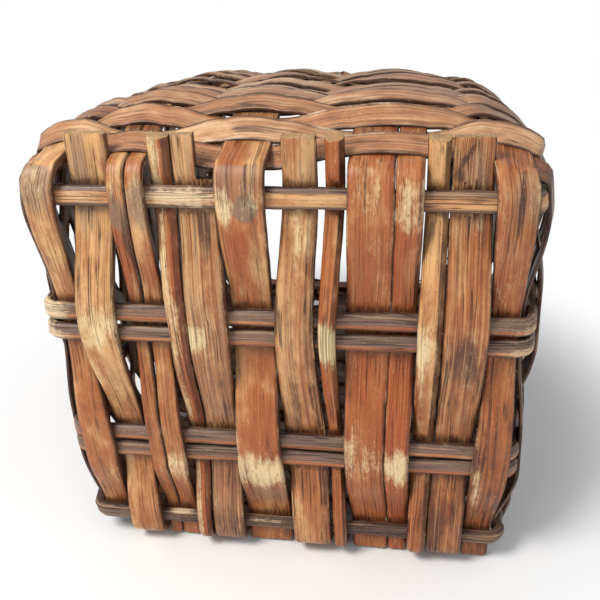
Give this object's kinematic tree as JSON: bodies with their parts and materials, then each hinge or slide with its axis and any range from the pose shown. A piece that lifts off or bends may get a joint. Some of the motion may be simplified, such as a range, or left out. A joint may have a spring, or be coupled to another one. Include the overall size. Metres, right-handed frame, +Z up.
{
  "type": "splint basket",
  "caption": "Rough open-topped basket of wide split-wood staves, half-round cross rods and narrow woven wall splints, lying on one wall.",
  "frame": {"origin": "middle of the bounding box on the floor, with the basket lying on one wall as in the picture", "axes": "+Z up, +X to the right along the base, +Y from the base towards the open mouth"},
  "size_m": [0.439, 0.445, 0.4114],
  "materials": {
    "stave_wood": "worn split wood, matt",
    "rod_wood": "split rod with dark bark left on, matt",
    "weaver_wood": "thin split wood, slightly polished by use",
    "rim_wood": "split wood, matt"
  },
  "bodies": {
    "root": {"stave_01": "stave_wood", "stave_02": "stave_wood", "stave_03": "stave_wood", "stave_04": "stave_wood", "stave_05": "stave_wood", "stave_06": "stave_wood", "stave_07": "stave_wood", "stave_08": "stave_wood", "stave_09": "stave_wood", "stave_10": "stave_wood", "stave_11": "stave_wood", "stave_12": "stave_wood", "stave_13": "stave_wood", "stave_14": "stave_wood", "rod_01": "rod_wood", "rod_02": "rod_wood", "rod_03": "rod_wood", "rod_04": "rod_wood", "rod_05": "rod_wood", "rod_06": "rod_wood", "weaver_01": "weaver_wood", "weaver_02": "weaver_wood", "weaver_03": "weaver_wood", "weaver_04": "weaver_wood", "weaver_05": "weaver_wood", "weaver_06": "weaver_wood", "weaver_07": "weaver_wood", "weaver_08": "weaver_wood", "weaver_09": "weaver_wood", "weaver_10": "weaver_wood", "weaver_11": "weaver_wood", "weaver_12": "weaver_wood", "weaver_13": "weaver_wood", "weaver_14": "weaver_wood", "weaver_15": "weaver_wood", "weaver_16": "weaver_wood", "weaver_17": "weaver_wood", "weaver_18": "weaver_wood", "weaver_19": "weaver_wood", "weaver_20": "weaver_wood", "rim_outer_hoop": "rim_wood", "rim_inner_hoop": "rim_wood", "rim_lashing": "weaver_wood"}
  },
  "joints": []
}
